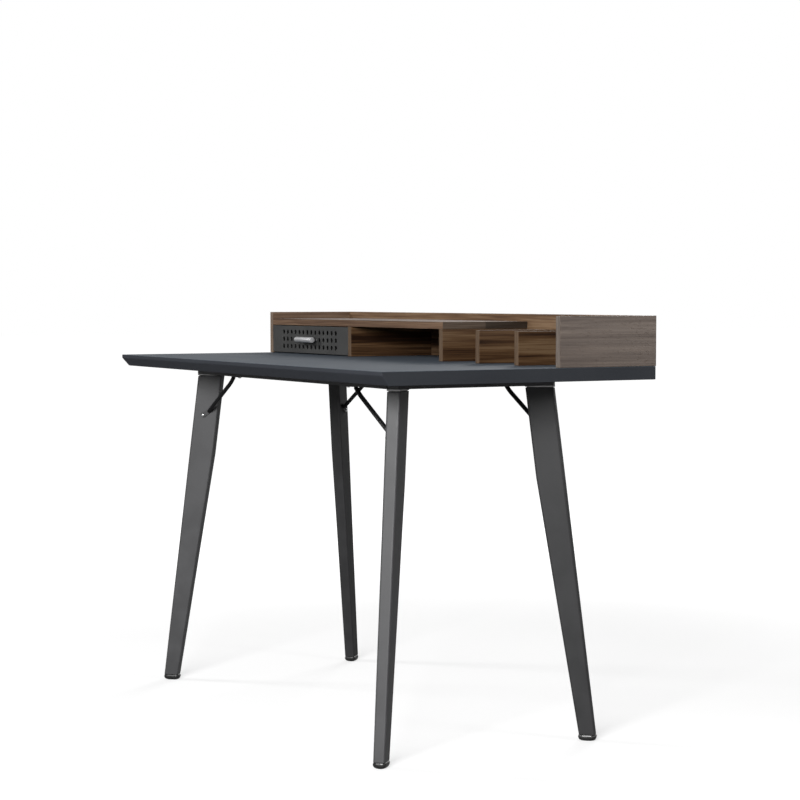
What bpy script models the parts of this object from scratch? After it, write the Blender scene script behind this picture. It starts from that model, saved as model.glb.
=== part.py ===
"""Writing and drafting desk: a slab top on a slim steel frame, four splayed tapered legs with rod
braces, and a low walnut organiser with one perforated steel drawer. Metres, +Z up. The origin is on
the floor under the middle of the desktop, +X runs along the desk and -Y is the side one sits at."""

from math import atan2, cos, pi, radians, sin, tan

import bmesh
import bpy
from mathutils import Matrix, Vector

GAP = 0.0003                    # between pieces that touch

# Desktop
LENGTH = 1.250
DEPTH = 0.610
TOP_Z = 0.750
TOP_THICK = 0.026
TOP_EDGE = 0.0075               # upright part of the front edge, above the undercut
TOP_UNDERCUT = 0.017
TOP_CORNER_R = 0.003
TOP_EASING = 0.0008

# Steel frame under the desktop
RAIL_WIDTH = 0.030
RAIL_HEIGHT = 0.0146
RAIL_WALL = 0.0015
BRACKET_THICK = 0.0034          # the part of a leg bracket that shows under the rails
BRACKET_MARGIN = 0.0006         # how far it stands out round its leg
BRACKET_NECK = 0.0014           # height of the recessed neck on top of the leg
BRACKET_INSET = 0.0025
BRACKET_WALL = 0.003

# Legs: flat tubes, each in an upright plane through its corner of the frame
CORNER_X = 0.4523               # middle of a leg's outer face, at the top
CORNER_Y = 0.1835
LEG_ANGLE = radians(48.3)       # between a leg's plane and the long side
LEG_WIDTH_TOP = 0.0564
LEG_WIDTH_FOOT = 0.0324
LEG_THICK_TOP = 0.0274
LEG_THICK_FOOT = 0.0234
LEG_CORNER_R = 0.004
LEG_WALL = 0.002
LEG_SPLAY = 0.0878              # how far the foot stands out, in the leg's plane
KNEE_Z = 0.5251                 # the inner edge is parallel above this and tapers below

# Foot caps
CAP_HEIGHT = 0.0125
CAP_CORNER_R = 0.0085
CAP_PLUG = 0.020
CAP_PROFILE = (                 # height and how far inside the leg's outline
    (0.0, 0.0036),
    (0.0010, 0.0016),
    (0.0030, -0.0004),
    (0.0060, -0.0016),
    (0.0090, -0.0016),
    (0.0114, -0.0008),
    (CAP_HEIGHT, 0.0008),
)

# Rod braces: rods parallel to the long rails, with a flattened tab at each end
ROD_R = 0.0045
BRACE_Y = 0.1745
BRACE_PATH = (                  # X and Z of the middle of the rod, from the leg to the rail
    (0.4218, 0.6235),
    (0.3923, 0.6405),
    (0.3580, 0.6602),
    (0.3330, 0.6746),
    (0.3215, 0.6812),
    (0.3110, 0.6872),
    (0.3020, 0.6930),
    (0.2945, 0.6987),
    (0.2895, 0.7030),
    (0.2862, 0.7056),
)
FOOT_SCREW_Z = 0.6153
FOOT_SCREW_IN = 0.024           # from the leg's outer edge
FOOT_TAB_RISE = radians(32)
FOOT_TAB_LENGTH = 0.024
HEAD_SCREW_X = 0.2548
HEAD_TAB_LENGTH = 0.035
TAB_R = 0.0058
TAB_NECK = 0.0042               # half width of a tab where the rod joins it
FOOT_TAB_THICK = 0.003
HEAD_TAB_THICK = 0.002

# Screws
SCREW_HEAD_R = 0.0036
SCREW_HEAD_HEIGHT = 0.0020
SCREW_SHANK_R = 0.0018
SCREW_SIDES = 12
BRACE_SCREW = 0.008             # shank lengths
TOP_SCREW = 0.014
BOARD_SCREW = 0.042
TOP_SCREW_X = (0.10, 0.38)      # along the long rails, either side of the middle
ACCESS_R = 0.0050               # holes that a screw head passes or sits in
COUNTERBORE = 0.0032
SCREW_SPARE = 0.003             # how much deeper a hole is than its screw

# Organiser
BOARD = 0.015
ORGANISER_DEPTH = 0.225
ORGANISER_HEIGHT = 0.098
BAY_HEIGHT = 0.0675             # from the desktop to the underside of the shelf
WIDE_BAY = 0.3865
NARROW_BAY = 0.129
BOARD_ROUNDING = 0.0008

# Drawer
FRONT_THICK = 0.002
FRONT_SIDE_GAP = 0.001
FRONT_TOP_GAP = 0.0015
FRONT_BOTTOM_GAP = 0.0025
HOLE_R = 0.0054
HOLE_COLUMNS = 14
HOLE_ROWS = 3
HOLE_PITCH_X = 0.0205
HOLE_PITCH_Z = 0.017
HOLE_SIDES = 12
TRAY_SHEET = 0.0012
TRAY_DEPTH = 0.190
TRAY_HEIGHT = 0.056
TRAY_LIFT = 0.004               # underside of the tray above the desktop
RUNNER_SPACE = 0.013            # between the tray and the bay's side
RUNNER_HEIGHT = 0.022
RUNNER_SHEET = 0.0015
RUNNER_LENGTH = 0.186
RUNNER_PLAY = 0.0005
RUNNER_CLEARANCE = 0.002        # between the fixed runner and the tray
RUNNER_SETBACK = 0.006          # behind the front edges of the boards
SLIDER_SETBACK = 0.001
SLIDER_ROUNDING = 0.001
HANDLE_R = 0.0065
HANDLE_LENGTH = 0.082
HANDLE_SHIFT = 0.004            # to the right of the drawer's middle
HANDLE_REACH = 0.015            # from the drawer front to the middle of the bar
BAR_EASING = 0.0008
BAR_SIDES = 20
HANDLE_Z = 0.0345
POST_R = 0.004
POST_SPACING = 0.066
POST_SIDES = 16

TOP_UNDERSIDE = TOP_Z - TOP_THICK
RAIL_TOP = TOP_UNDERSIDE - GAP
RAIL_UNDERSIDE = RAIL_TOP - RAIL_HEIGHT
BRACKET_UNDERSIDE = RAIL_UNDERSIDE - BRACKET_THICK
LEG_TOP = BRACKET_UNDERSIDE - BRACKET_NECK - GAP
SHANK_HOLE_R = SCREW_SHANK_R + GAP
RAIL_Y = CORNER_Y + LEG_THICK_TOP / 2 * cos(LEG_ANGLE)
RAIL_MIDDLE_Y = RAIL_Y - RAIL_WIDTH / 2
LEG_FOOT = CAP_HEIGHT + GAP
FRONT_Y = DEPTH / 2 - ORGANISER_DEPTH
BACK_BOARD_Y = DEPTH / 2 - BOARD
SHELF_Z = TOP_Z + BAY_HEIGHT
CORNERS = {"back_right": (1, 1), "back_left": (-1, 1), "front_left": (-1, -1), "front_right": (1, -1)}


def clear_scene():
    for obj in list(bpy.data.objects):
        bpy.data.objects.remove(obj, do_unlink=True)


def new_collection(name, helper=False):
    collection = bpy.data.collections.new(name)
    bpy.context.scene.collection.children.link(collection)
    collection.hide_render = helper
    return collection


def new_material(name, colour, roughness, metallic=0.0):
    material = bpy.data.materials.new(name)
    material.use_nodes = True
    shader = material.node_tree.nodes["Principled BSDF"]
    shader.inputs["Base Color"].default_value = (*colour, 1.0)
    shader.inputs["Roughness"].default_value = roughness
    shader.inputs["Metallic"].default_value = metallic
    material.diffuse_color = (*colour, 1.0)
    return material


clear_scene()
DESK = new_collection("drafting_desk")
CUTTERS = new_collection("cutters", helper=True)
LAMINATE = new_material("slate_laminate", (0.085, 0.095, 0.105), 0.45)
STEEL = new_material("charcoal_steel", (0.045, 0.045, 0.047), 0.5, 0.3)
BLACK_STEEL = new_material("black_steel", (0.012, 0.012, 0.013), 0.4, 0.4)
PLASTIC = new_material("black_plastic", (0.01, 0.01, 0.01), 0.3)
WALNUT = new_material("walnut", (0.16, 0.095, 0.06), 0.5)
DRAWER_STEEL = new_material("grey_steel", (0.06, 0.06, 0.06), 0.5, 0.3)
ZINC = new_material("zinc", (0.6, 0.6, 0.6), 0.35, 1.0)
ALUMINIUM = new_material("aluminium", (0.78, 0.78, 0.78), 0.3, 1.0)


def add_object(name, data, material, parent=None):
    obj = bpy.data.objects.new(name, data)
    DESK.objects.link(obj)
    obj.parent = parent
    if not data.materials:
        data.materials.append(material)
    return obj


def mesh_from(bm, name):
    bmesh.ops.recalc_face_normals(bm, faces=bm.faces[:])
    mesh = bpy.data.meshes.new(name)
    bm.to_mesh(mesh)
    bm.free()
    return mesh


def cylinder_mesh(name, radius, length, sides):
    """A cylinder along Z with its middle at the origin."""
    bm = bmesh.new()
    bmesh.ops.create_cone(bm, cap_ends=True, segments=sides, radius1=radius, radius2=radius, depth=length)
    mesh = mesh_from(bm, name)
    smooth(mesh)
    return mesh


def bevel(obj, width, segments=2):
    modifier = obj.modifiers.new("rounded_edges", "BEVEL")
    modifier.width = width
    modifier.segments = segments
    modifier.limit_method = "ANGLE"
    modifier.angle_limit = radians(40)


def add_block(name, low, high, material, rounding=0.0, parent=None):
    """A rectangular piece between two corners, with its edges rounded."""
    bm = bmesh.new()
    bmesh.ops.create_cube(bm, size=1.0)
    size = Vector(high) - Vector(low)
    bmesh.ops.scale(bm, vec=size, verts=bm.verts[:])
    obj = add_object(name, mesh_from(bm, name), material, parent)
    obj.location = (Vector(low) + Vector(high)) / 2
    if rounding:
        bevel(obj, rounding)
    return obj


def rounded_rectangle(x0, x1, y0, y1, radius, steps, z):
    """The corners' arcs in turn, anticlockwise from the corner at x1, y1."""
    centres = ((x1, y1, 0), (x0, y1, 90), (x0, y0, 180), (x1, y0, 270))
    points = []
    for x, y, start in centres:
        inward_x = -radius if x == x1 else radius
        inward_y = -radius if y == y1 else radius
        for step in range(steps + 1):
            angle = radians(start + 90 * step / steps)
            points.append((x + inward_x + radius * cos(angle), y + inward_y + radius * sin(angle), z))
    return points


def loft(name, rings, closed_tube=False):
    """A mesh through rings of equally many points: capped, or joined end to end when closed_tube."""
    bm = bmesh.new()
    loops = [[bm.verts.new(point) for point in ring] for ring in rings]
    pairs = list(zip(loops, loops[1:]))
    if closed_tube:
        pairs.append((loops[-1], loops[0]))
    else:
        bm.faces.new(loops[0])
        bm.faces.new(loops[-1])
    for lower, upper in pairs:
        for i in range(len(lower)):
            j = (i + 1) % len(lower)
            bm.faces.new((lower[i], lower[j], upper[j], upper[i]))
    return mesh_from(bm, name)


def smooth(mesh, angle=35):
    mesh.shade_smooth()
    mesh.set_sharp_from_angle(angle=radians(angle))


def union(target, other):
    """Joins a helper mesh object into target, and leaves the helper out of the render."""
    modifier = target.modifiers.new("joined_" + other.name, "BOOLEAN")
    modifier.operation = "UNION"
    modifier.object = other
    other.hide_render = True
    other.display_type = "WIRE"
    DESK.objects.unlink(other)
    CUTTERS.objects.link(other)


# ---------------------------------------------------------------- desktop and frame

def make_desktop():
    """The front edge is undercut; the ends and the back are upright."""
    half_x = LENGTH / 2
    half_y = DEPTH / 2

    def level(z, inset):
        return rounded_rectangle(-half_x, half_x, -half_y + inset, half_y, TOP_CORNER_R, 3, z)

    rings = [level(TOP_UNDERSIDE, TOP_UNDERCUT), level(TOP_Z - TOP_EDGE, 0.0), level(TOP_Z, 0.0)]
    desktop = add_object("desktop", loft("desktop", rings), LAMINATE)
    bevel(desktop, TOP_EASING, 1)
    return desktop


def make_rail(name, along, across, lean, turn):
    """A rectangular tube along X, cut at each end to the face of a leg bracket.

    The brackets' corners are at along and across, and lean is their angle to the tube."""
    outer_y = across + LEG_THICK_TOP / 2 * cos(lean)
    setback = (LEG_THICK_TOP / 2 + GAP) / sin(lean)
    rings = []
    for side in (-1, 1):
        for inset in (0.0, RAIL_WALL):
            ring = []
            for across_share, z_share in ((0, 0), (1, 0), (1, 1), (0, 1)):
                y = inset + across_share * (RAIL_WIDTH - 2 * inset)
                z = RAIL_UNDERSIDE + inset + z_share * (RAIL_HEIGHT - 2 * inset)
                x = along - setback + (outer_y - across - y) / tan(lean)
                ring.append((side * x, -outer_y + y, z))
            rings.append(ring)
    outer_left, inner_left, outer_right, inner_right = rings
    mesh = loft(name, [outer_left, outer_right, inner_right, inner_left], closed_tube=True)
    rail = add_object(name, mesh, STEEL)
    rail.rotation_euler.z = turn
    return rail


def make_frame():
    make_rail("frame_rail_front", CORNER_X, CORNER_Y, LEG_ANGLE, 0)
    make_rail("frame_rail_right", CORNER_Y, CORNER_X, pi / 2 - LEG_ANGLE, pi / 2)
    make_rail("frame_rail_back", CORNER_X, CORNER_Y, LEG_ANGLE, pi)
    make_rail("frame_rail_left", CORNER_Y, CORNER_X, pi / 2 - LEG_ANGLE, -pi / 2)


# ---------------------------------------------------------------- legs

def corner_empty(corner):
    """At a corner of the frame, with its +X pointing out in the leg's plane."""
    sign_x, sign_y = CORNERS[corner]
    empty = bpy.data.objects.new("corner_" + corner, None)
    DESK.objects.link(empty)
    empty.rotation_euler.z = atan2(sign_y * sin(LEG_ANGLE), sign_x * cos(LEG_ANGLE))
    empty.location = (sign_x * CORNER_X, sign_y * CORNER_Y, 0)
    return empty


def leg_section(z, inset=0.0):
    """The leg's outline at height z in its corner's frame: its outer edge is one straight line."""
    drop = (LEG_TOP - z) / LEG_TOP
    outer = LEG_SPLAY * drop
    width = LEG_WIDTH_TOP
    if z < KNEE_Z:
        width = LEG_WIDTH_FOOT + (LEG_WIDTH_TOP - LEG_WIDTH_FOOT) * z / KNEE_Z
    thick = LEG_THICK_TOP + (LEG_THICK_FOOT - LEG_THICK_TOP) * drop
    return outer - width + inset, outer - inset, -thick / 2 + inset, thick / 2 - inset


def leg_ring(section_z, z, inset=0.0, radius=LEG_CORNER_R):
    return rounded_rectangle(*leg_section(section_z, inset), radius, 3, z)


def make_leg_mesh():
    levels = (LEG_FOOT, KNEE_Z, LEG_TOP)
    inner_r = LEG_CORNER_R - LEG_WALL
    outside = [leg_ring(z, z) for z in levels]
    inside = [leg_ring(z, z, LEG_WALL, inner_r) for z in reversed(levels)]
    mesh = loft("leg_tube", outside + inside, closed_tube=True)
    smooth(mesh)
    return mesh


def make_bracket_mesh():
    """A steel cup with the leg's section: it closes the frame's corner and carries the leg."""
    inner_r = LEG_CORNER_R - BRACKET_WALL
    rings = [
        leg_ring(LEG_TOP, LEG_TOP + GAP, BRACKET_INSET, LEG_CORNER_R - BRACKET_INSET),
        leg_ring(LEG_TOP, BRACKET_UNDERSIDE, BRACKET_INSET, LEG_CORNER_R - BRACKET_INSET),
        leg_ring(LEG_TOP, BRACKET_UNDERSIDE, -BRACKET_MARGIN),
        leg_ring(LEG_TOP, RAIL_UNDERSIDE - GAP, -BRACKET_MARGIN),
        leg_ring(LEG_TOP, RAIL_UNDERSIDE - GAP),
        leg_ring(LEG_TOP, RAIL_TOP),
        leg_ring(LEG_TOP, RAIL_TOP, BRACKET_WALL, inner_r),
        leg_ring(LEG_TOP, RAIL_UNDERSIDE, BRACKET_WALL, inner_r),
    ]
    mesh = loft("leg_bracket", rings)
    smooth(mesh)
    return mesh


def make_cap_mesh():
    """A plastic foot cap: a rounded foot under the tube's end and a plug inside it."""
    plug_inset = LEG_WALL + GAP
    rings = [leg_ring(CAP_HEIGHT, z, inset, CAP_CORNER_R) for z, inset in CAP_PROFILE]
    for z in (CAP_HEIGHT, CAP_HEIGHT + CAP_PLUG):
        rings.append(leg_ring(z, z, plug_inset, LEG_CORNER_R - LEG_WALL))
    mesh = loft("foot_cap", rings)
    smooth(mesh)
    return mesh


def make_legs():
    kinds = (
        ("leg_", make_leg_mesh(), STEEL),
        ("leg_bracket_", make_bracket_mesh(), STEEL),
        ("foot_cap_", make_cap_mesh(), PLASTIC),
    )
    for corner in CORNERS:
        empty = corner_empty(corner)
        for prefix, mesh, material in kinds:
            add_object(prefix + corner, mesh, material, empty)


# ---------------------------------------------------------------- braces and screws

def make_tab(name, length, thick):
    """A flat strip along +X with a round end at the origin, narrower where the rod joins it."""
    arc = [(TAB_R * cos(a), TAB_R * sin(a)) for a in (pi / 2 + pi * i / 8 for i in range(9))]
    outline = arc + [(length, -TAB_NECK), (length, TAB_NECK)]
    rings = [[(x, y, z) for x, y in outline] for z in (0.0, thick)]
    return add_object(name, loft(name, rings), STEEL)


def place(obj, origin, along, normal):
    """Puts a tab's origin at a point, its +X along one direction and its +Z along another."""
    x = Vector(along).normalized()
    z = (Vector(normal) - Vector(normal).dot(x) * x).normalized()
    matrix = Matrix((x, z.cross(x), z)).transposed().to_4x4()
    obj.matrix_world = Matrix.Translation(origin) @ matrix


def screw_profile(shank):
    """Half the outline of a pan-head screw, head up, with its seat at z = 0."""
    return [
        (0.0, SCREW_HEAD_HEIGHT),
        (SCREW_HEAD_R * 0.6, SCREW_HEAD_HEIGHT * 0.92),
        (SCREW_HEAD_R * 0.92, SCREW_HEAD_HEIGHT * 0.55),
        (SCREW_HEAD_R, 0.0),
        (SCREW_SHANK_R, 0.0),
        (SCREW_SHANK_R, -shank + SCREW_SHANK_R),
        (0.0, -shank),
    ]


def add_screw(name, seat, outward, shank):
    """A turned screw whose head stands out along outward."""
    bm = bmesh.new()
    verts = [bm.verts.new((x, 0, z)) for x, z in screw_profile(shank)]
    for a, b in zip(verts, verts[1:]):
        bm.edges.new((a, b))
    mesh = bpy.data.meshes.new(name)
    bm.to_mesh(mesh)
    bm.free()
    screw = add_object(name, mesh, ZINC)
    turned = screw.modifiers.new("turned", "SCREW")
    turned.steps = SCREW_SIDES
    turned.render_steps = SCREW_SIDES
    turned.use_merge_vertices = True
    turned.merge_threshold = 0.0001
    turned.use_smooth_shade = False
    up = Vector(outward).normalized()
    screw.rotation_mode = "QUATERNION"
    screw.rotation_quaternion = up.to_track_quat("Z", "Y")
    screw.location = Vector(seat)
    return screw


def make_rod(name, points):
    """A bent rod through the points, as a mesh with its end caps welded."""
    curve = bpy.data.curves.new(name, "CURVE")
    curve.dimensions = "3D"
    curve.bevel_depth = ROD_R
    curve.bevel_resolution = 2
    curve.use_fill_caps = True
    spline = curve.splines.new("POLY")
    spline.points.add(len(points) - 1)
    for point, where in zip(spline.points, points):
        point.co = (*where, 1.0)
    guide = bpy.data.objects.new(name + "_guide", curve)
    DESK.objects.link(guide)
    bpy.context.view_layer.update()
    graph = bpy.context.evaluated_depsgraph_get()
    mesh = bpy.data.meshes.new_from_object(guide.evaluated_get(graph))
    bpy.data.objects.remove(guide, do_unlink=True)
    bpy.data.curves.remove(curve)
    bm = bmesh.new()
    bm.from_mesh(mesh)
    bmesh.ops.remove_doubles(bm, verts=bm.verts[:], dist=0.00002)
    bm.to_mesh(mesh)
    bm.free()
    mesh.name = name
    mesh.materials.clear()
    return add_object(name, mesh, BLACK_STEEL)


def make_brace(corner):
    """A rod from the leg's inward broad face up to the underside of the long rail."""
    sign_x, sign_y = CORNERS[corner]
    outward = Vector((sign_x * cos(LEG_ANGLE), sign_y * sin(LEG_ANGLE), 0))
    face_normal = Vector((-sign_x * sin(LEG_ANGLE), sign_y * cos(LEG_ANGLE), 0))
    up = Vector((0, 0, 1))
    outer, high = leg_section(FOOT_SCREW_Z)[1::2]
    corner_point = Vector((sign_x * CORNER_X, sign_y * CORNER_Y, FOOT_SCREW_Z))
    foot = corner_point + outward * (outer - FOOT_SCREW_IN) + face_normal * (high + GAP)
    head = Vector((sign_x * HEAD_SCREW_X, sign_y * BRACE_Y, RAIL_UNDERSIDE - GAP))
    brace = make_rod("brace_" + corner, [(sign_x * x, sign_y * BRACE_Y, z) for x, z in BRACE_PATH])

    foot_tab = make_tab("tab_foot_" + corner, FOOT_TAB_LENGTH, FOOT_TAB_THICK)
    place(foot_tab, foot, up * sin(FOOT_TAB_RISE) - outward * cos(FOOT_TAB_RISE), face_normal)
    head_tab = make_tab("tab_head_" + corner, HEAD_TAB_LENGTH, HEAD_TAB_THICK)
    place(head_tab, head, (sign_x, 0, 0), -up)
    union(brace, foot_tab)
    union(brace, head_tab)

    leg = bpy.data.objects["leg_" + corner]
    rail = bpy.data.objects["frame_rail_front" if sign_y < 0 else "frame_rail_back"]
    ends = (
        ("foot", foot, face_normal, FOOT_TAB_THICK, leg),
        ("head", head, -up, HEAD_TAB_THICK, rail),
    )
    for label, seat, normal, thick, holder in ends:
        hole = make_hole_cutter(f"hole_{label}_{corner}", seat, normal, 2 * BRACE_SCREW, SHANK_HOLE_R)
        cut(brace, hole)
        cut(holder, hole)
        screw_seat = seat + normal * (thick + GAP)
        add_screw(f"brace_{label}_screw_{corner}", screw_seat, normal, BRACE_SCREW)


def make_hole_cutter(name, where, normal, length, radius):
    """A round cutter whose middle is at where."""
    cutter = bpy.data.objects.new(name, cylinder_mesh(name, radius, length, SCREW_SIDES))
    CUTTERS.objects.link(cutter)
    cutter.rotation_mode = "QUATERNION"
    cutter.rotation_quaternion = Vector(normal).to_track_quat("Z", "Y")
    cutter.location = where
    cutter.hide_render = True
    cutter.display_type = "WIRE"
    return cutter


def cut(target, cutter):
    modifier = target.modifiers.new("cut_" + cutter.name, "BOOLEAN")
    modifier.operation = "DIFFERENCE"
    modifier.object = cutter


def make_desktop_screws():
    """Screws through the rails' upper walls into the desktop, reached by holes in the lower walls."""
    desktop = bpy.data.objects["desktop"]
    seat_z = RAIL_TOP - RAIL_WALL - GAP
    up = (0, 0, 1)
    for side, sign_y in (("front", -1), ("back", 1)):
        rail = bpy.data.objects["frame_rail_" + side]
        y = sign_y * RAIL_MIDDLE_Y
        places = [sign_x * offset for sign_x in (-1, 1) for offset in TOP_SCREW_X]
        for number, x in enumerate(places, start=1):
            label = f"{side}_{number}"
            reach = 2 * (TOP_SCREW + SCREW_SPARE)
            hole = make_hole_cutter("top_hole_" + label, (x, y, seat_z), up, reach, SHANK_HOLE_R)
            under = (x, y, RAIL_UNDERSIDE)
            access = make_hole_cutter("access_" + label, under, up, RAIL_HEIGHT, ACCESS_R)
            cut(rail, hole)
            cut(rail, access)
            cut(desktop, hole)
            add_screw("desktop_screw_" + label, (x, y, seat_z), (0, 0, -1), TOP_SCREW)


# ---------------------------------------------------------------- organiser

def bay_edges():
    """X of each upright board's two faces, from the left side to the right side."""
    x = -LENGTH / 2
    edges = []
    for bay in (WIDE_BAY, WIDE_BAY, NARROW_BAY, NARROW_BAY, NARROW_BAY, 0.0):
        edges.append((x, x + BOARD))
        x += BOARD + bay
    return edges


def make_organiser():
    base = TOP_Z + GAP
    top = TOP_Z + ORGANISER_HEIGHT
    back = BACK_BOARD_Y - GAP
    edges = bay_edges()
    for name, (x0, x1) in (("organiser_side_left", edges[0]), ("organiser_side_right", edges[-1])):
        add_block(name, (x0, FRONT_Y, base), (x1, DEPTH / 2, top), WALNUT, BOARD_ROUNDING)
    for number, (x0, x1) in enumerate(edges[1:-1], start=1):
        add_block(f"organiser_divider_{number}", (x0, FRONT_Y, base), (x1, back, SHELF_Z - GAP), WALNUT,
                  BOARD_ROUNDING)
    inner_left = edges[0][1] + GAP
    inner_right = edges[-1][0] - GAP
    add_block("organiser_back", (inner_left, BACK_BOARD_Y, base), (inner_right, DEPTH / 2, top), WALNUT,
              BOARD_ROUNDING)
    add_block("organiser_shelf", (inner_left, FRONT_Y, SHELF_Z), (edges[2][1], back, SHELF_Z + BOARD), WALNUT,
              BOARD_ROUNDING)


def make_organiser_screws():
    """Sunk screws up through the desktop into both sides and the two dividers that carry the shelf."""
    desktop = bpy.data.objects["desktop"]
    edges = bay_edges()
    y = (RAIL_Y + DEPTH / 2) / 2
    seat_z = TOP_UNDERSIDE + COUNTERBORE
    up = (0, 0, 1)
    boards = {"side_left": edges[0], "divider_1": edges[1], "divider_2": edges[2], "side_right": edges[-1]}
    for label, (x0, x1) in boards.items():
        x = (x0 + x1) / 2
        reach = 2 * (BOARD_SCREW + SCREW_SPARE)
        hole = make_hole_cutter("board_hole_" + label, (x, y, seat_z), up, reach, SHANK_HOLE_R)
        under = (x, y, TOP_UNDERSIDE)
        sink = make_hole_cutter("sink_" + label, under, up, 2 * COUNTERBORE, ACCESS_R)
        cut(desktop, hole)
        cut(desktop, sink)
        cut(bpy.data.objects["organiser_" + label], hole)
        add_screw("organiser_screw_" + label, (x, y, seat_z - GAP), (0, 0, -1), BOARD_SCREW)


# ---------------------------------------------------------------- drawer

def drawer_bay():
    edges = bay_edges()
    return edges[0][1], edges[1][0]


def make_drawer_front(slide):
    """A steel sheet with rows of round holes, flush with the organiser's front edges."""
    bay_left, bay_right = drawer_bay()
    middle = (bay_left + bay_right) / 2
    half = (bay_right - bay_left) / 2 - FRONT_SIDE_GAP
    bottom = FRONT_BOTTOM_GAP
    top = BAY_HEIGHT - FRONT_TOP_GAP
    centre_z = (bottom + top) / 2
    curve = bpy.data.curves.new("drawer_front", "CURVE")
    curve.dimensions = "2D"
    curve.fill_mode = "BOTH"
    curve.extrude = FRONT_THICK / 2

    def add_outline(points):
        spline = curve.splines.new("POLY")
        spline.points.add(len(points) - 1)
        spline.use_cyclic_u = True
        for point, (x, y) in zip(spline.points, points):
            point.co = (x, y, 0, 1)

    half_height = (top - bottom) / 2
    add_outline([(-half, -half_height), (half, -half_height), (half, half_height), (-half, half_height)])
    for row in range(HOLE_ROWS):
        for column in range(HOLE_COLUMNS):
            x = (column - (HOLE_COLUMNS - 1) / 2) * HOLE_PITCH_X
            y = (row - (HOLE_ROWS - 1) / 2) * HOLE_PITCH_Z
            turns = [2 * pi * (i + 0.5) / HOLE_SIDES for i in range(HOLE_SIDES)]
            add_outline([(x + HOLE_R * cos(a), y + HOLE_R * sin(a)) for a in turns])
    front = add_object("drawer_front", curve, DRAWER_STEEL, slide)
    front.rotation_euler.x = pi / 2
    front.location = (middle, FRONT_Y + FRONT_THICK / 2, TOP_Z + centre_z)


def make_drawer_tray(slide):
    """A folded sheet tray behind the front: a bottom, two sides and a back."""
    bay_left, bay_right = drawer_bay()
    x0 = bay_left + RUNNER_SPACE
    x1 = bay_right - RUNNER_SPACE
    y0 = FRONT_Y + FRONT_THICK + GAP
    y1 = y0 + TRAY_DEPTH
    z0 = TOP_Z + TRAY_LIFT
    bm = bmesh.new()
    outline = ((x0, y0), (x1, y0), (x1, y1), (x0, y1))
    corners = [bm.verts.new((x, y, z)) for z in (z0, z0 + TRAY_HEIGHT) for x, y in outline]
    bm.faces.new([corners[i] for i in (3, 2, 1, 0)])
    for i, j in ((1, 2), (2, 3), (3, 0)):
        bm.faces.new((corners[i], corners[j], corners[j + 4], corners[i + 4]))
    tray = add_object("drawer_tray", mesh_from(bm, "drawer_tray"), DRAWER_STEEL, slide)
    sheet = tray.modifiers.new("sheet", "SOLIDIFY")
    sheet.thickness = TRAY_SHEET
    sheet.offset = 0.0
    sheet.use_even_offset = True


def runner_profile(side):
    """The C section of a fixed runner, open towards the drawer, in X and Z from the bay's side."""
    depth = RUNNER_SPACE - RUNNER_CLEARANCE
    t = RUNNER_SHEET
    h = RUNNER_HEIGHT
    points = ((0, 0), (depth, 0), (depth, t), (t, t), (t, h - t), (depth, h - t), (depth, h), (0, h))
    return [(side * x, z) for x, z in points]


def make_runners(slide):
    bay_left, bay_right = drawer_bay()
    y0 = FRONT_Y + RUNNER_SETBACK
    z0 = TOP_Z + (BAY_HEIGHT - RUNNER_HEIGHT) / 2
    for name, wall, side in (("left", bay_left + GAP, 1), ("right", bay_right - GAP, -1)):
        profile = runner_profile(side)
        rings = [[(wall + x, y, z0 + z) for x, z in profile] for y in (y0, y0 + RUNNER_LENGTH)]
        add_object("runner_fixed_" + name, loft("runner_fixed_" + name, rings), ZINC)
        tray_side = bay_left + RUNNER_SPACE if side > 0 else bay_right - RUNNER_SPACE
        inner = wall + side * (RUNNER_SHEET + RUNNER_PLAY)
        outer = tray_side - side * (GAP + TRAY_SHEET / 2)
        low_z = z0 + RUNNER_SHEET + RUNNER_PLAY
        high_z = z0 + RUNNER_HEIGHT - RUNNER_SHEET - RUNNER_PLAY
        low = (min(inner, outer), y0 + SLIDER_SETBACK, low_z)
        high = (max(inner, outer), y0 + RUNNER_LENGTH - SLIDER_SETBACK, high_z)
        add_block("runner_slider_" + name, low, high, PLASTIC, SLIDER_ROUNDING, slide)


def make_handle(slide):
    """A round bar on two posts."""
    bay_left, bay_right = drawer_bay()
    middle = (bay_left + bay_right) / 2 + HANDLE_SHIFT
    z = TOP_Z + HANDLE_Z
    bar_mesh = cylinder_mesh("drawer_handle_bar", HANDLE_R, HANDLE_LENGTH, BAR_SIDES)
    bar = add_object("drawer_handle_bar", bar_mesh, ALUMINIUM, slide)
    bar.rotation_euler.y = pi / 2
    bar.location = (middle, FRONT_Y - HANDLE_REACH, z)
    bevel(bar, BAR_EASING, 1)
    length = HANDLE_REACH - HANDLE_R - 2 * GAP
    for name, sign in (("left", -1), ("right", 1)):
        post_mesh = cylinder_mesh("drawer_handle_post_" + name, POST_R, length, POST_SIDES)
        post = add_object("drawer_handle_post_" + name, post_mesh, ALUMINIUM, slide)
        post.rotation_euler.x = pi / 2
        post.location = (middle + sign * POST_SPACING / 2, FRONT_Y - GAP - length / 2, z)


def make_drawer():
    slide = bpy.data.objects.new("drawer_slide", None)
    DESK.objects.link(slide)
    make_drawer_front(slide)
    make_drawer_tray(slide)
    make_runners(slide)
    make_handle(slide)


make_desktop()
make_frame()
make_legs()
bpy.context.view_layer.update()
for corner_name in CORNERS:
    make_brace(corner_name)
make_desktop_screws()
make_organiser()
make_organiser_screws()
make_drawer()
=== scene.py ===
"""Looks for the drafting desk: powder-coated legs, laminate top, walnut organiser, perforated drawer."""

from math import cos, pi, radians, sin

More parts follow.
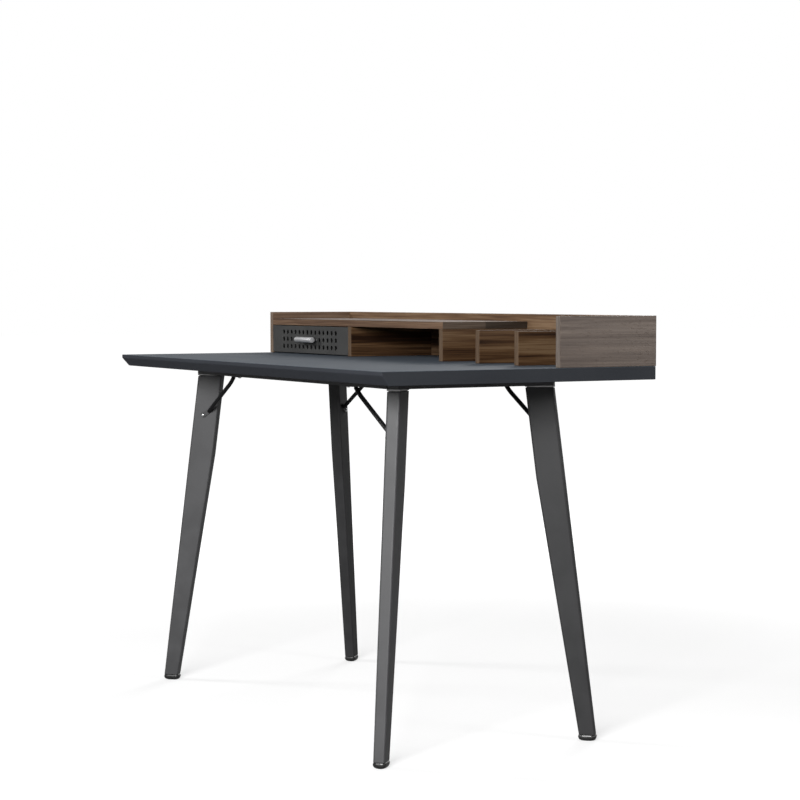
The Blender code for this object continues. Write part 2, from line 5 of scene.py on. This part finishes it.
import bmesh
import bpy
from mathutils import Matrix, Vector


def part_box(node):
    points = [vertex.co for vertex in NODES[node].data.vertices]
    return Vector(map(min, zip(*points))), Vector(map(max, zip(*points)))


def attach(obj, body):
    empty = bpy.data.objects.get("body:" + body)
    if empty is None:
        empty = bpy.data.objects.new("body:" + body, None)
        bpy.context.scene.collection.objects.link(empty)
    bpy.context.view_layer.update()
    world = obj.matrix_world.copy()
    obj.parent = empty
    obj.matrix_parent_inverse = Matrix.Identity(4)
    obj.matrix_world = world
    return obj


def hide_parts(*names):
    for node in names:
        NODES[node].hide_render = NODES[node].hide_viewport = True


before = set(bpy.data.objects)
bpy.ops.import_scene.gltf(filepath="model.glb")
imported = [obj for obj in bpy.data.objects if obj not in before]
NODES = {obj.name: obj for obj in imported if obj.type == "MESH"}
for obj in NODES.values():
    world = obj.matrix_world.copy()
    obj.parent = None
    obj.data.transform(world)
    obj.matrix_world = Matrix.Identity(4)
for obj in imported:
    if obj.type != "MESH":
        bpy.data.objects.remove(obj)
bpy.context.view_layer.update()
CORNERS = {"back_right": (1, 1), "back_left": (-1, 1), "front_left": (-1, -1), "front_right": (1, -1)}
LEG_ANGLE = radians(48.3)
# Depth where the painted shadow on the shelf's end band begins
SHELF_END_SHADOW_EDGE = 0.185
HOLE_ROWS = 3
HOLE_COLUMNS = 14
HOLE_PITCH_X = 0.0205
HOLE_PITCH_Z = 0.017
HOLE_R = 0.0054
SCREW_HEAD_R = 0.0036
SCREW_HEAD_HEIGHT = 0.0020
SCREW_SHANK_R = 0.0018
BRACE_SCREW = 0.008
TOP_SCREW = 0.014
BOARD_SCREW = 0.042

# Heights of the light cut edge on a leg bracket's plate, and how fast it starts and stops
PLATE_LOW = 0.7052
PLATE_HIGH = 0.7087
PLATE_FADE = 0.0004

# Where the tabs at a brace's two ends begin, measured from the middle of the desk and from the floor
FOOT_TAB_X = (0.4195, 0.4215)
FOOT_TAB_Z = (0.6300, 0.6290)
HEAD_TAB_X = (0.2885, 0.2865)
HEAD_TAB_Z = (0.7055, 0.7062)

LEG_COLOUR = (0.047, 0.047, 0.049)


# ---------------------------------------------------------------- materials

class Material:
    """A node material with one Principled shader, and short names for the nodes it is built from."""

    def __init__(self, name):
        self.material = bpy.data.materials.new(name)
        self.material.use_nodes = True
        self.tree = self.material.node_tree
        self.shader = self.tree.nodes["Principled BSDF"]
        self.object_coordinates = self.tree.nodes.new("ShaderNodeTexCoord").outputs["Object"]

    def put(self, value, socket):
        if isinstance(value, bpy.types.NodeSocket):
            self.tree.links.new(value, socket)
        else:
            socket.default_value = value

    def node(self, kind, inputs, output=0, **settings):
        node = self.tree.nodes.new(kind)
        for name, value in settings.items():
            setattr(node, name, value)
        for name, value in inputs.items():
            self.put(value, node.inputs[name])
        return node.outputs[output]

    def noise(self, vector, scale, detail=2.0, distortion=0.0):
        inputs = {"Vector": vector, "Scale": scale, "Detail": detail, "Distortion": distortion}
        return self.node("ShaderNodeTexNoise", inputs)

    def stretched(self, scale, offset=(0.0, 0.0, 0.0)):
        inputs = {"Vector": self.object_coordinates, "Scale": scale, "Location": offset}
        return self.node("ShaderNodeMapping", inputs)

    def axis(self, letter):
        return self.node("ShaderNodeSeparateXYZ", {"Vector": self.object_coordinates}, "XYZ".index(letter))

    def math(self, operation, first, second=0.0):
        return self.node("ShaderNodeMath", {0: first, 1: second}, operation=operation)

    def ramp(self, value, low, high, to_low=0.0, to_high=1.0):
        inputs = {0: value, 1: low, 2: high, 3: to_low, 4: to_high}
        return self.node("ShaderNodeMapRange", inputs, interpolation_type="SMOOTHSTEP")

    def mix(self, factor, first, second):
        node = self.tree.nodes.new("ShaderNodeMix")
        node.data_type = "RGBA"
        self.put(factor, node.inputs[0])
        self.put(first, node.inputs[6])
        self.put(second, node.inputs[7])
        return node.outputs[2]

    def colours(self, value, stops):
        node = self.tree.nodes.new("ShaderNodeValToRGB")
        elements = node.color_ramp.elements
        while len(elements) < len(stops):
            elements.new(0.5)
        for element, (position, colour) in zip(elements, stops):
            element.position = position
            element.color = (*colour, 1.0)
        self.put(value, node.inputs[0])
        return node.outputs[0]

    def bump(self, height, distance, strength=1.0):
        inputs = {"Height": height, "Distance": distance, "Strength": strength}
        return self.node("ShaderNodeBump", inputs)

    def edges(self, radius):
        """1 on edges rounded to that radius, 0 on flat faces."""
        rounded = self.node("ShaderNodeBevel", {"Radius": radius}, samples=6)
        normal = self.node("ShaderNodeNewGeometry", {}, 1)
        agreement = self.node("ShaderNodeVectorMath", {0: rounded, 1: normal}, 1, operation="DOT_PRODUCT")
        return self.ramp(agreement, 0.995, 0.80)

    def finish(self, **inputs):
        names = {"colour": "Base Color", "roughness": "Roughness", "metallic": "Metallic", "normal": "Normal",
                 "specular": "Specular IOR Level", "coat": "Coat Weight", "coat_roughness": "Coat Roughness"}
        for name, value in inputs.items():
            self.put(value, self.shader.inputs[names[name]])
        return self.material


def rgb(*values):
    return (*values, 1.0)


def make_walnut(name, grain_axis, seed, brightness=1.0, sheen_grey=0.0, contrast=1.0, shaded_ends=False,
                specular=0.12):
    """Straight-grained walnut veneer: streaks, fine fibres and short dark pores along one axis.

    The faces that the grain runs into carry an edge band instead, with its grain along the edge.
    When asked, that band is painted darker as painted shade, and darker still at the back as a painted shadow
    of the right side panel."""
    m = Material(name)

    # brightness gives lighter and darker copies of one walnut, painted light and shade; the grey mix is a
    # painted sheen.
    def tint(*colour):
        mean = sum(colour) / 3
        return tuple(brightness * (c + (mean - c) * sheen_grey) for c in colour)

    def along(axis, grain, across):
        scale = [across] * 3
        scale["XYZ".index(axis)] = grain
        return m.stretched(scale, (seed * 3.7, seed * 5.3, seed * 2.9))

    streaks = m.noise(along(grain_axis, 2.4, 125.0), 1.0, 5.0, 0.5)
    bands = m.noise(along(grain_axis, 1.2, 24.0), 1.0, 3.0, 0.4)
    fibres = m.noise(along(grain_axis, 12.0, 620.0), 1.0, 3.0)
    pores = m.noise(along(grain_axis, 60.0, 1500.0), 1.0, 1.0)
    tone = m.math("ADD", m.math("MULTIPLY", streaks, 0.50), m.math("MULTIPLY", bands, 0.50))
    tone = m.math("ADD", tone, m.math("MULTIPLY", m.math("SUBTRACT", fibres, 0.5), 0.22))
    tone = m.math("ADD", m.math("MULTIPLY", m.math("SUBTRACT", tone, 0.5), contrast), 0.5)
    colour = m.colours(tone, (
        (0.36, tint(0.026, 0.011, 0.005)),
        (0.46, tint(0.078, 0.038, 0.017)),
        (0.54, tint(0.140, 0.076, 0.036)),
        (0.64, tint(0.225, 0.140, 0.076)),
    ))
    pore = m.ramp(pores, 0.66, 0.74)
    colour = m.mix(m.math("MULTIPLY", pore, 0.40), colour, rgb(*tint(0.03, 0.016, 0.009)))
    band_axis = "Z" if grain_axis == "Y" else "Y"
    band_fibres = m.noise(along(band_axis, 14.0, 420.0), 1.0, 4.0)
    band = m.colours(band_fibres, ((0.35, tint(0.115, 0.070, 0.040)), (0.65, tint(0.190, 0.125, 0.078))))
    if shaded_ends:
        # Painted shade: the whole end band darker, and behind that depth darker still as a painted shadow of
        # the right side panel.
        dark = m.ramp(m.axis("Y"), SHELF_END_SHADOW_EDGE - 0.001, SHELF_END_SHADOW_EDGE + 0.001, 0.34, 0.16)
        band = m.node("ShaderNodeVectorMath", {0: band, "Scale": dark}, operation="SCALE")
    normal = m.node("ShaderNodeNewGeometry", {}, 1)
    end_on = m.math("ABSOLUTE", m.node("ShaderNodeSeparateXYZ", {0: normal}, "XYZ".index(grain_axis)))
    colour = m.mix(m.ramp(end_on, 0.6, 0.8), colour, band)
    # Rounded edges mixed toward a light colour: a painted highlight along the edges.
    colour = m.mix(m.math("MULTIPLY", m.edges(0.0012), 0.25), colour, rgb(*tint(0.30, 0.22, 0.16)))
    height = m.math("SUBTRACT", m.math("MULTIPLY", fibres, 0.5), pore)
    return m.finish(colour=colour, roughness=m.ramp(streaks, 0.3, 0.7, 0.52, 0.40),
                    normal=m.bump(height, 0.00010), specular=specular)


def make_laminate():
    """Slate laminate: a faint mottle under a fine matt texture. The top is painted lighter than the darker
    edge bands as a painted sheen, the ends darker than the front as painted shade, and the rounded edges
    lighter as a painted highlight.
    """
    m = Material("look_slate_laminate")
    mottle = m.noise(m.object_coordinates, 7.0, 4.0)
    speckle = m.noise(m.object_coordinates, 900.0, 2.0)
    tone = m.math("ADD", m.math("MULTIPLY", mottle, 0.6), m.math("MULTIPLY", speckle, 0.4))
    # The top painted lighter than the edges: a painted sheen.
    top = m.colours(tone, ((0.35, (0.060, 0.074, 0.091)), (0.65, (0.080, 0.096, 0.116))))
    band = m.colours(tone, ((0.35, (0.020, 0.022, 0.028)), (0.65, (0.027, 0.030, 0.036))))
    # The ends painted darker than the front band: painted shade.
    end = m.colours(tone, ((0.35, (0.017, 0.019, 0.023)), (0.65, (0.024, 0.026, 0.030))))
    normal = m.node("ShaderNodeNewGeometry", {}, 1)
    facing_up = m.node("ShaderNodeSeparateXYZ", {0: normal}, 2)
    sideways = m.math("ABSOLUTE", m.node("ShaderNodeSeparateXYZ", {0: normal}, 0))
    colour = m.mix(m.ramp(facing_up, 0.5, 0.95), m.mix(m.ramp(sideways, 0.5, 0.9), band, end), top)
    # Rounded edges mixed toward a lighter colour: a painted highlight.
    colour = m.mix(m.math("MULTIPLY", m.edges(0.001), 0.15), colour, rgb(0.14, 0.15, 0.16))
    grainy = m.noise(m.object_coordinates, 1500.0, 3.0)
    return m.finish(colour=colour, roughness=m.ramp(mottle, 0.3, 0.7, 0.58, 0.68),
                    normal=m.bump(grainy, 0.00006), specular=0.10)


def powder_nodes(m, colour, edge_colour, edge_strength=0.30):
    """Powder coat: a fine orange peel, a slight mottle and edges in a second colour, which on the front legs
    is near black, a painted shade along the edges.
    """
    peel = m.noise(m.object_coordinates, 650.0, 3.0)
    mottle = m.noise(m.object_coordinates, 18.0, 3.0)
    grime = m.ramp(mottle, 0.35, 0.7, 0.88, 1.08)
    shade = m.node("ShaderNodeVectorMath", {0: colour, "Scale": grime}, operation="SCALE")
    # Rounded edges mixed toward edge_colour; on the front legs that is a painted shade.
    coat = m.mix(m.math("MULTIPLY", m.edges(0.0011), edge_strength), shade, edge_colour)
    return coat, m.bump(peel, 0.00010, 0.7), m.ramp(mottle, 0.3, 0.7, 0.44, 0.56)


def make_powder_coat(name, colour, edge_colour, specular=0.4, edge_strength=0.30):
    m = Material(name)
    coat, normal, roughness = powder_nodes(m, colour, edge_colour, edge_strength)
    return m.finish(colour=coat, normal=normal, roughness=roughness, specular=specular)


def make_bracket():
    """Leg paint, lighter on the cut edge of the plate under the rails, with the neck below it near black as a
    painted shadow in the gap above the leg.
    """
    m = Material("look_bracket")
    coat, normal, roughness = powder_nodes(m, LEG_COLOUR, rgb(0.12, 0.12, 0.12))
    z = m.axis("Z")
    edge = m.math("MULTIPLY", m.ramp(z, PLATE_LOW, PLATE_LOW + PLATE_FADE),
                  m.ramp(z, PLATE_HIGH, PLATE_HIGH - PLATE_FADE))
    # Painted shadow: the neck under the plate near black.
    neck_shadow = m.ramp(z, 0.7055, 0.7051)
    coat = m.mix(edge, coat, rgb(0.42, 0.42, 0.42))
    coat = m.mix(neck_shadow, coat, rgb(0.01, 0.01, 0.01))
    return m.finish(colour=coat, normal=normal, roughness=roughness, specular=0.4)


def make_brace():
    """Black rod, with leg paint on the flattened tabs at its two ends."""
    m = Material("look_brace")
    coat, normal, roughness = powder_nodes(m, LEG_COLOUR, rgb(0.12, 0.12, 0.12))
    z = m.axis("Z")
    across = m.math("ABSOLUTE", m.axis("X"))
    foot = m.math("MULTIPLY", m.ramp(across, *FOOT_TAB_X), m.ramp(z, *FOOT_TAB_Z))
    head = m.math("MULTIPLY", m.ramp(across, *HEAD_TAB_X), m.ramp(z, *HEAD_TAB_Z))
    colour = m.mix(m.math("MAXIMUM", foot, head), rgb(0.004, 0.004, 0.0045), coat)
    return m.finish(colour=colour, normal=normal, roughness=roughness, specular=0.18)


def make_metal(name, colour, roughness, brushed, direction, metallic=1.0):
    """Bare metal with fine lines along one axis and a faint smudge."""
    m = Material(name)
    scale = [2600.0] * 3
    scale["XYZ".index(direction)] = 40.0
    lines = m.noise(m.stretched(scale), 1.0, 2.0)
    smudge = m.noise(m.object_coordinates, 60.0, 3.0)
    shade = m.mix(m.ramp(smudge, 0.3, 0.7), rgb(*[c * 0.9 for c in colour]), rgb(*colour))
    rough = m.math("ADD", m.math("MULTIPLY", smudge, 0.15), roughness - 0.07)
    return m.finish(colour=shade, roughness=rough, metallic=metallic, normal=m.bump(lines, 0.00004, brushed))


def make_plastic(name, colour, roughness, coat):
    """Moulded plastic: a faint flow texture and dusty patches."""
    m = Material(name)
    flow = m.noise(m.object_coordinates, 220.0, 3.0)
    dust = m.noise(m.object_coordinates, 35.0, 4.0)
    shade = m.mix(m.ramp(dust, 0.45, 0.8, 0.0, 0.25), rgb(*colour), rgb(0.05, 0.05, 0.05))
    return m.finish(colour=shade, roughness=m.ramp(dust, 0.3, 0.7, roughness, roughness + 0.08),
                    normal=m.bump(flow, 0.00005, 0.5), coat=coat, coat_roughness=0.1)


def paint(material, *names):
    for name in names:
        slots = NODES[name].data.materials
        if len(slots) == 0:
            slots.append(material)
        for slot in NODES[name].material_slots:
            slot.material = material


# The front legs' edges go near black: a painted shade along the rounded edges.
LEG_PAINT = make_powder_coat("look_leg_paint", LEG_COLOUR, rgb(0.010, 0.010, 0.010), 0.4, 0.55)
# The back legs' paint, darker and less glossy than the front legs': a painted shade on the legs further back.
SHADED_BACK_LEG_PAINT = make_powder_coat("look_back_leg_paint_shaded", (0.026, 0.026, 0.027), rgb(0.06, 0.06, 0.06), 0.2)
RAIL_PAINT = make_powder_coat("look_rail_paint", (0.040, 0.040, 0.042), rgb(0.1, 0.1, 0.1))
DRAWER_PAINT = make_powder_coat("look_drawer_paint", (0.029, 0.029, 0.0285), rgb(0.07, 0.07, 0.07), 0.3)
BRACKET = make_bracket()
BRACE = make_brace()
CAP = make_plastic("look_cap", (0.008, 0.008, 0.008), 0.36, 0.08)
NYLON = make_plastic("look_nylon", (0.02, 0.02, 0.02), 0.45, 0.0)
ZINC = make_metal("look_zinc", (0.72, 0.73, 0.74), 0.34, 0.4, "Y")
SCREW = make_metal("look_screw", (0.86, 0.86, 0.86), 0.24, 0.2, "Z")
ALUMINIUM = make_metal("look_aluminium", (0.46, 0.46, 0.47), 0.36, 0.6, "X", 0.55)
POST = make_metal("look_post", (0.20, 0.20, 0.20), 0.4, 0.4, "Z")


def paint_all():
    paint(make_laminate(), "desktop")
    # One walnut in every board: the shelf painted lighter and the back and dividers darker, painted light and
    # shade inside the compartments, and the sides greyer, a painted sheen.
    paint(make_walnut("look_walnut_shelf", "X", 1.0, 1.2, 0.25, 0.8, True), "organiser_shelf")
    paint(make_walnut("look_walnut_back", "X", 2.0, 0.80, 0.10), "organiser_back")
    for number in (1, 2, 3, 4):
        board = make_walnut(f"look_walnut_divider_{number}", "Y", 3.0 + number, 0.50, 0.0, 1.15)
        paint(board, f"organiser_divider_{number}")
    paint(make_walnut("look_walnut_side_left", "Y", 8.0, 1.0, 0.3, 0.7), "organiser_side_left")
    side_right = make_walnut("look_walnut_side_right", "Y", 9.0, 0.80, 0.55, 0.45, specular=0.4)
    paint(side_right, "organiser_side_right")
    paint(RAIL_PAINT, *["frame_rail_" + side for side in ("front", "back", "left", "right")])
    for corner in CORNERS:
        # Back legs get the darker paint: painted shade.
        paint(SHADED_BACK_LEG_PAINT if corner.startswith("back") else LEG_PAINT, "leg_" + corner)
        paint(BRACKET, "leg_bracket_" + corner)
        paint(CAP, "foot_cap_" + corner)
        paint(BRACE, "brace_" + corner)
    paint(RAIL_PAINT, "drawer_tray")
    for side in ("left", "right"):
        paint(ZINC, "runner_fixed_" + side)
        paint(NYLON, "runner_slider_" + side)


# ---------------------------------------------------------------- finer pieces

def add_piece(name, data, material):
    piece = bpy.data.objects.new(name, data)
    bpy.context.scene.collection.objects.link(piece)
    if not data.materials:
        data.materials.append(material)
    return piece


def settle(piece, body, slot_name, *replaced):
    bpy.context.view_layer.update()
    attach(piece, body)
    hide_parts(*replaced)


def turned_mesh(name, profile, steps=40):
    """A closed solid turned about Z from (radius, z) points that start and end on the axis."""
    bm = bmesh.new()
    rings = []
    for radius, z in profile:
        if radius == 0.0:
            rings.append([bm.verts.new((0.0, 0.0, z))])
        else:
            turns = [2 * pi * i / steps for i in range(steps)]
            rings.append([bm.verts.new((radius * cos(a), radius * sin(a), z)) for a in turns])
    for low, high in zip(rings, rings[1:]):
        for i in range(steps):
            j = (i + 1) % steps
            around = (low[i % len(low)], low[j % len(low)], high[j % len(high)], high[i % len(high)])
            corners = list(dict.fromkeys(around))
            if len(corners) > 2:
                bm.faces.new(corners)
    bmesh.ops.recalc_face_normals(bm, faces=bm.faces[:])
    mesh = bpy.data.meshes.new(name)
    bm.to_mesh(mesh)
    bm.free()
    mesh.shade_smooth()
    mesh.set_sharp_from_angle(angle=radians(35))
    return mesh


def node_box(name):
    low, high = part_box(name)
    return Vector(low), Vector(high)


def make_drawer_front():
    """The perforated sheet again, with smooth round holes and softened edges."""
    low, high = node_box("drawer_front")
    thick = high.y - low.y
    half_x = (high.x - low.x) / 2
    half_z = (high.z - low.z) / 2
    easing = 0.0003
    curve = bpy.data.curves.new("drawer_front_sheet", "CURVE")
    curve.dimensions = "2D"
    curve.fill_mode = "BOTH"
    curve.extrude = thick / 2 - easing
    curve.bevel_depth = easing
    curve.bevel_resolution = 1
    curve.offset = -easing

    def outline(points):
        spline = curve.splines.new("POLY")
        spline.points.add(len(points) - 1)
        spline.use_cyclic_u = True
        for point, (x, y) in zip(spline.points, points):
            point.co = (x, y, 0.0, 1.0)

    outline([(-half_x, -half_z), (half_x, -half_z), (half_x, half_z), (-half_x, half_z)])
    for row in range(HOLE_ROWS):
        for column in range(HOLE_COLUMNS):
            x = (column - (HOLE_COLUMNS - 1) / 2) * HOLE_PITCH_X
            y = (row - (HOLE_ROWS - 1) / 2) * HOLE_PITCH_Z
            turns = [-2 * pi * i / 28 for i in range(28)]
            outline([(x + HOLE_R * cos(a), y + HOLE_R * sin(a)) for a in turns])
    sheet = add_piece("drawer_front_sheet", curve, DRAWER_PAINT)
    sheet.rotation_euler.x = pi / 2
    sheet.location = (low + high) / 2
    settle(sheet, "drawer", "grey_steel", "drawer_front")


def make_handle():
    """A turned bar with eased ends, on two posts with a collar."""
    low, high = node_box("drawer_handle_bar")
    r = (high.z - low.z) / 2
    half = (high.x - low.x) / 2
    profile = [(0.0, -half), (r - 0.0012, -half), (r - 0.0003, -half + 0.0004), (r, -half + 0.0012)]
    profile += [(r, half - 0.0012), (r - 0.0003, half - 0.0004), (r - 0.0012, half), (0.0, half)]
    bar = add_piece("handle_bar", turned_mesh("handle_bar", profile, 56), ALUMINIUM)
    bar.rotation_euler.y = pi / 2
    bar.location = (low + high) / 2
    settle(bar, "drawer", "aluminium", "drawer_handle_bar")
    for side in ("left", "right"):
        node = "drawer_handle_post_" + side
        low, high = node_box(node)
        r = (high.z - low.z) / 2
        half = (high.y - low.y) / 2
        profile = [(0.0, -half), (r, -half), (r, -half + 0.0012), (r * 0.8, -half + 0.0018)]
        profile += [(r * 0.8, half - 0.001), (r, half), (0.0, half)]
        post = add_piece("handle_post_" + side, turned_mesh(node, profile), POST)
        post.rotation_euler.x = pi / 2
        post.location = (low + high) / 2
        settle(post, "drawer", "aluminium", node)


def make_screw_mesh(length):
    """A pan-head screw, head up, with its seat at z = 0 and a cross recess in the head."""
    r, top = SCREW_HEAD_R, SCREW_HEAD_HEIGHT
    shank = SCREW_SHANK_R
    profile = [(0.0, top), (r * 0.45, top), (r * 0.78, top * 0.82), (r * 0.95, top * 0.45), (r, 0.0),
               (shank, 0.0), (shank, -length + shank), (0.0, -length)]
    blank = add_piece("screw_blank", turned_mesh("screw_blank", profile, 32), SCREW)
    bm = bmesh.new()
    for size in ((r * 1.1, r * 0.28, top), (r * 0.28, r * 1.1, top)):
        slot_verts = bmesh.ops.create_cube(bm, size=1.0)["verts"]
        bmesh.ops.scale(bm, vec=size, verts=slot_verts)
        bmesh.ops.translate(bm, vec=(0, 0, top), verts=slot_verts)
    recess_data = bpy.data.meshes.new("screw_recess")
    bm.to_mesh(recess_data)
    bm.free()
    recess = bpy.data.objects.new("screw_recess", recess_data)
    bpy.context.scene.collection.objects.link(recess)
    cut = blank.modifiers.new("recess", "BOOLEAN")
    cut.operation = "DIFFERENCE"
    cut.solver = "EXACT"
    cut.use_self = True
    cut.object = recess
    evaluated = blank.evaluated_get(bpy.context.evaluated_depsgraph_get())
    mesh = bpy.data.meshes.new_from_object(evaluated)
    bpy.data.objects.remove(blank)
    bpy.data.objects.remove(recess)
    return mesh


def place_screw(node, mesh, outward, length):
    """The node's box is centred on the screw, which gives its seat."""
    low, high = node_box(node)
    outward = Vector(outward)
    screw = add_piece(node + "_fine", mesh, SCREW)
    screw.rotation_mode = "QUATERNION"
    screw.rotation_quaternion = outward.to_track_quat("Z", "Y")
    screw.location = (low + high) / 2 + outward * (length - SCREW_HEAD_HEIGHT) / 2
    settle(screw, "desk", "zinc", node)


def make_screws():
    down = (0.0, 0.0, -1.0)
    brace_mesh = make_screw_mesh(BRACE_SCREW)
    for corner, (sign_x, sign_y) in CORNERS.items():
        face_normal = (-sign_x * sin(LEG_ANGLE), sign_y * cos(LEG_ANGLE), 0.0)
        place_screw("brace_foot_screw_" + corner, brace_mesh, face_normal, BRACE_SCREW)
        place_screw("brace_head_screw_" + corner, brace_mesh, down, BRACE_SCREW)
    top_mesh = make_screw_mesh(TOP_SCREW)
    for side in ("front", "back"):
        for number in (1, 2, 3, 4):
            place_screw(f"desktop_screw_{side}_{number}", top_mesh, down, TOP_SCREW)
    board_mesh = make_screw_mesh(BOARD_SCREW)
    for board in ("side_left", "divider_1", "divider_2", "side_right"):
        place_screw("organiser_screw_" + board, board_mesh, down, BOARD_SCREW)


# ---------------------------------------------------------------- camera, floor and light

CAMERA_AT = (3.7121, -2.0199, 0.8824)
CAMERA_YAW = radians(60.41)
CAMERA_PITCH = radians(2.962)
FOCAL_MM = 88.9
SENSOR_MM = 36.0
FLOOR_GLOW_NEAR = 0.55
FLOOR_GLOW_FAR = 0.93
BACKDROP = (-0.87, 0.49, 0.0)
BACKDROP_LEVEL = 0.95
ROOM_LEVEL = 0.17
KEY_AT = (3.3, -3.45, 2.0)
KEY_POWER = 345
FILL_AT = (2.3, 1.5, 1.2)
FILL_POWER = 15
SIDE_AT = (-2.6, -2.6, 2.2)
SIDE_POWER = 55
REAR_AT = (-2.6, 3.2, 2.6)
REAR_POWER = 60


def add_camera():
    data = bpy.data.cameras.new("camera")
    data.sensor_width = SENSOR_MM
    data.lens = FOCAL_MM
    data.clip_start = 0.05
    data.clip_end = 100.0
    camera = bpy.data.objects.new("camera", data)
    bpy.context.scene.collection.objects.link(camera)
    camera.location = CAMERA_AT
    camera.rotation_euler = (pi / 2 - CAMERA_PITCH, 0.0, CAMERA_YAW)
    bpy.context.scene.camera = camera


def add_floor():
    """A pale floor that reads white, but throws only a little light back up at the desk."""
    bpy.ops.mesh.primitive_plane_add(size=80.0, location=(0, 0, 0))
    floor = bpy.context.object
    floor.name = "floor"
    m = Material("studio_floor")
    mottle = m.noise(m.object_coordinates, 3.0, 3.0)
    seen = m.node("ShaderNodeLightPath", {})
    white = m.mix(mottle, rgb(0.44, 0.44, 0.44), rgb(0.46, 0.46, 0.46))
    m.finish(colour=m.mix(seen, rgb(0.30, 0.30, 0.30), white), roughness=0.9, specular=0.0)
    m.shader.inputs["Emission Color"].default_value = (1, 1, 1, 1)
    distance = m.node("ShaderNodeVectorMath", {0: m.object_coordinates}, 1, operation="LENGTH")
    glow = m.ramp(distance, 1.0, 3.0, FLOOR_GLOW_NEAR, FLOOR_GLOW_FAR)
    m.put(m.math("MULTIPLY", seen, glow), m.shader.inputs["Emission Strength"])
    floor.data.materials.append(m.material)


def add_area(name, location, target, size, power):
    data = bpy.data.lights.new(name, "AREA")
    data.shape = "RECTANGLE"
    data.size, data.size_y = size
    data.energy = power
    light = bpy.data.objects.new(name, data)
    bpy.context.scene.collection.objects.link(light)
    light.location = location
    light.rotation_euler = (Vector(target) - Vector(location)).to_track_quat("-Z", "Y").to_euler()


def add_world():
    """White wherever it is seen. What it throws on the desk comes mostly from the backdrop behind it."""
    world = bpy.data.worlds.new("studio")
    world.use_nodes = True
    tree = world.node_tree
    background = tree.nodes["Background"]
    background.inputs["Color"].default_value = (1, 1, 1, 1)
    direction = tree.nodes.new("ShaderNodeTexCoord").outputs["Generated"]
    facing = tree.nodes.new("ShaderNodeVectorMath")
    facing.operation = "DOT_PRODUCT"
    facing.inputs[1].default_value = BACKDROP
    tree.links.new(direction, facing.inputs[0])
    level = tree.nodes.new("ShaderNodeMapRange")
    level.interpolation_type = "SMOOTHSTEP"
    tree.links.new(facing.outputs[1], level.inputs[0])
    for socket, value in zip(list(level.inputs)[1:5], (0.55, 0.90, ROOM_LEVEL, BACKDROP_LEVEL)):
        socket.default_value = value
    strength = tree.nodes.new("ShaderNodeMix")
    tree.links.new(tree.nodes.new("ShaderNodeLightPath").outputs["Is Camera Ray"], strength.inputs[0])
    tree.links.new(level.outputs[0], strength.inputs[2])
    strength.inputs[3].default_value = 1.0
    tree.links.new(strength.outputs[0], background.inputs["Strength"])
    bpy.context.scene.world = world


def add_light():
    add_world()
    add_area("key", KEY_AT, (0, 0, 0.5), (2.2, 1.5), KEY_POWER)
    add_area("fill", FILL_AT, (0, 0, 0.5), (0.6, 0.6), FILL_POWER)
    add_area("side", SIDE_AT, (0, 0, 0.3), (0.7, 0.7), SIDE_POWER)
    add_area("rear", REAR_AT, (0, 0, 0.5), (1.6, 1.2), REAR_POWER)


paint_all()
make_drawer_front()
make_handle()
make_screws()
add_camera()
add_floor()
add_light()
bpy.context.scene.view_settings.view_transform = "Standard"
